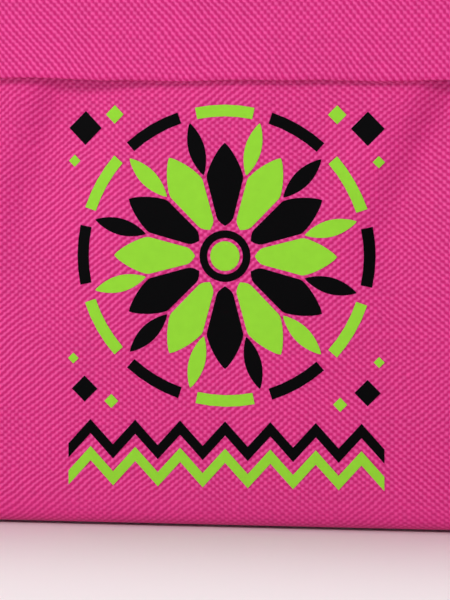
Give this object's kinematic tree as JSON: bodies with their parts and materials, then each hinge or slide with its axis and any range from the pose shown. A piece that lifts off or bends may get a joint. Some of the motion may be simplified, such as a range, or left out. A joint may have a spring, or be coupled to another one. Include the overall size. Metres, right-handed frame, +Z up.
{
  "type": "belt bag",
  "caption": "Small woven waist bag with a covered front zip pocket, a top zip, a padded back with its own zip, and an adjustable belt closed by a side-release buckle.",
  "frame": {"origin": "middle of the flat base that the bag stands on", "axes": "+Z up, +X to the right as seen from the front, -Y towards the front pocket"},
  "size_m": [0.3886, 0.2774, 0.1338],
  "materials": {
    "fabric": "plain-woven polyester, slight sheen",
    "pocket_fabric": "plain-woven polyester with a flat printed pattern",
    "mesh": "spacer mesh over foam",
    "webbing": "ribbed polyester webbing",
    "zip_tape": "coil zip on a woven tape",
    "plastic": "satin moulded plastic",
    "slider": "nickel-plated"
  },
  "bodies": {
    "bag": {"main_compartment": "fabric", "front_panel": "fabric", "front_pocket": "pocket_fabric", "back_pad": "mesh", "back_binding": "webbing", "pocket_zip": "zip_tape", "main_zip": "zip_tape", "back_zip": "zip_tape", "wing_left": "fabric", "wing_right": "fabric", "belt_left": "webbing", "belt_right": "webbing", "buckle_female": "plastic", "buckle_male": "plastic", "belt_keeper": "webbing"},
    "pocket_pull": {"pocket_slider": "slider", "pocket_ribbon": "webbing"},
    "main_pull": {"main_slider": "slider"},
    "main_tab": {"main_ribbon": "webbing"},
    "back_pull": {"back_slider": "slider"},
    "back_tab": {"back_ribbon": "webbing"}
  },
  "joints": [
    {"name": "pocket_zip_slide", "type": "slide", "parent": "bag", "child": "pocket_pull", "axis": [1, 0, 0], "range_m": [0, 0.18]},
    {"name": "main_zip_slide", "type": "slide", "parent": "bag", "child": "main_pull", "axis": [1, 0, 0], "range_m": [-0.164, 0]},
    {"name": "main_tab_swing", "type": "hinge", "parent": "main_pull", "child": "main_tab", "pos_m": [0.082, -0.00292, 0.13177], "axis": [1, 0, 0], "range_deg": [-150, 0]},
    {"name": "back_zip_slide", "type": "slide", "parent": "bag", "child": "back_pull", "axis": [1, 0, 0], "range_m": [-0.136, 0]},
    {"name": "back_tab_swing", "type": "hinge", "parent": "back_pull", "child": "back_tab", "pos_m": [0.068, 0.044, 0.101], "axis": [1, 0, 0], "range_deg": [0, 150]}
  ]
}
